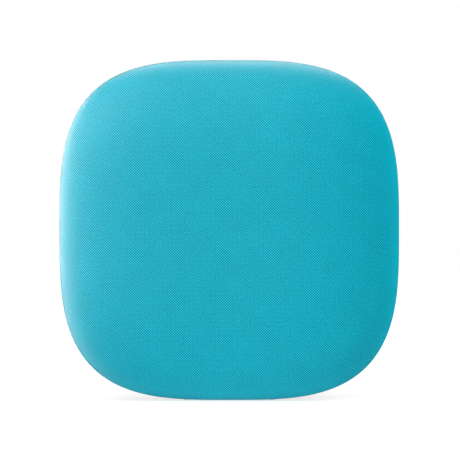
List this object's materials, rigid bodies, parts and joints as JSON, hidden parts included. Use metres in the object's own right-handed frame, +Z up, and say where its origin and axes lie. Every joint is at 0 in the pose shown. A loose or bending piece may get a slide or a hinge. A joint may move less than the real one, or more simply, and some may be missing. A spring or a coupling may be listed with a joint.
{
  "type": "portable bluetooth speaker",
  "caption": "Rounded-square portable speaker that stands on a foot: cloth-covered domed front, metal band with keys on top, and a rear shell with a passive radiator and sockets.",
  "frame": {"origin": "under the middle of the speaker, on the surface that its foot stands on", "axes": "+Z up, the cloth front faces -Y, +X to the right seen from the front"},
  "size_m": [0.126, 0.056, 0.1263],
  "materials": {
    "turquoise_cloth": "fine diagonal stretch weave, matt",
    "graphite_plastic": "soft-touch, fine grain",
    "black_plastic": "moulded, matt",
    "black_rubber": "matt",
    "satin_aluminium": "bead-blasted and anodised",
    "zinc_steel": "zinc plated",
    "ferrite": "sintered, dark grey",
    "copper_wire": "enamelled winding",
    "cone_paper": "pressed, fibrous",
    "spider_cloth": "resin-stiffened weave",
    "circuit_board": "solder mask",
    "grey_foam": "open-cell foam",
    "cell_sleeve": "shrink sleeve over a metal can",
    "clear_plastic": "clear, polished"
  },
  "bodies": {
    "housing": {"front_fabric": "turquoise_cloth", "grille_shell": "black_plastic", "mid_frame": "satin_aluminium", "rear_shell": "graphite_plastic", "baffle_gasket": "grey_foam", "rear_gasket": "black_rubber", "rubber_foot": "black_rubber", "baffle": "black_plastic", "key_board": "circuit_board", "driver_top_plate": "zinc_steel", "driver_magnet": "ferrite", "driver_yoke": "zinc_steel", "driver_basket": "black_plastic", "driver_gasket": "grey_foam", "driver_terminal": "circuit_board", "driver_surround": "black_rubber", "driver_spider": "spider_cloth", "radiator_frame": "black_plastic", "radiator_surround": "black_rubber", "board_tray": "black_plastic", "main_board": "circuit_board", "bluetooth_module": "zinc_steel", "amplifier_chip": "black_plastic", "power_inductor": "ferrite", "reservoir_capacitor": "satin_aluminium", "status_light_pipe": "clear_plastic", "usb_c_socket": "zinc_steel", "aux_jack": "black_plastic", "battery_cell_left": "cell_sleeve", "battery_cell_right": "cell_sleeve", "battery_cradle_left": "black_plastic", "battery_cradle_right": "black_plastic", "speaker_lead": "black_rubber", "battery_lead_left": "black_rubber", "battery_lead_right": "black_rubber", "key_lead": "black_rubber", "acoustic_foam": "grey_foam", "switch_power": "black_plastic", "switch_volume_down": "black_plastic", "switch_play": "black_plastic", "switch_volume_up": "black_plastic", "switch_bluetooth": "black_plastic", "case_screw_1": "zinc_steel", "driver_screw_1": "zinc_steel", "case_screw_2": "zinc_steel", "driver_screw_2": "zinc_steel", "case_screw_3": "zinc_steel", "driver_screw_3": "zinc_steel", "case_screw_4": "zinc_steel", "driver_screw_4": "zinc_steel"},
    "cone": {"driver_cone": "cone_paper", "dust_cap": "cone_paper", "voice_coil": "copper_wire"},
    "radiator": {"radiator_plate": "satin_aluminium"},
    "key_power": {"button_power": "graphite_plastic"},
    "key_volume_down": {"button_volume_down": "graphite_plastic"},
    "key_play": {"button_play": "graphite_plastic"},
    "key_volume_up": {"button_volume_up": "graphite_plastic"},
    "key_bluetooth": {"button_bluetooth": "graphite_plastic"}
  },
  "joints": [
    {"name": "cone_travel", "type": "slide", "parent": "housing", "child": "cone", "axis": [0, -1, 0], "range_m": [-0.003, 0.003], "stiffness_N_per_m": 800, "deforming": ["driver_surround", "driver_spider"]},
    {"name": "radiator_travel", "type": "slide", "parent": "housing", "child": "radiator", "axis": [0, 1, 0], "range_m": [-0.0035, 0.0035], "stiffness_N_per_m": 500, "deforming": ["radiator_surround"]},
    {"name": "power_press", "type": "slide", "parent": "housing", "child": "key_power", "axis": [0.1739, 0, -0.9848], "range_m": [0, 0.0006], "stiffness_N_per_m": 400},
    {"name": "volume_down_press", "type": "slide", "parent": "housing", "child": "key_volume_down", "axis": [0.0356, 0, -0.9994], "range_m": [0, 0.0006], "stiffness_N_per_m": 400},
    {"name": "play_press", "type": "slide", "parent": "housing", "child": "key_play", "axis": [0, 0, -1], "range_m": [0, 0.0006], "stiffness_N_per_m": 400},
    {"name": "volume_up_press", "type": "slide", "parent": "housing", "child": "key_volume_up", "axis": [-0.0356, 0, -0.9994], "range_m": [0, 0.0006], "stiffness_N_per_m": 400},
    {"name": "bluetooth_press", "type": "slide", "parent": "housing", "child": "key_bluetooth", "axis": [-0.1739, 0, -0.9848], "range_m": [0, 0.0006], "stiffness_N_per_m": 400}
  ]
}
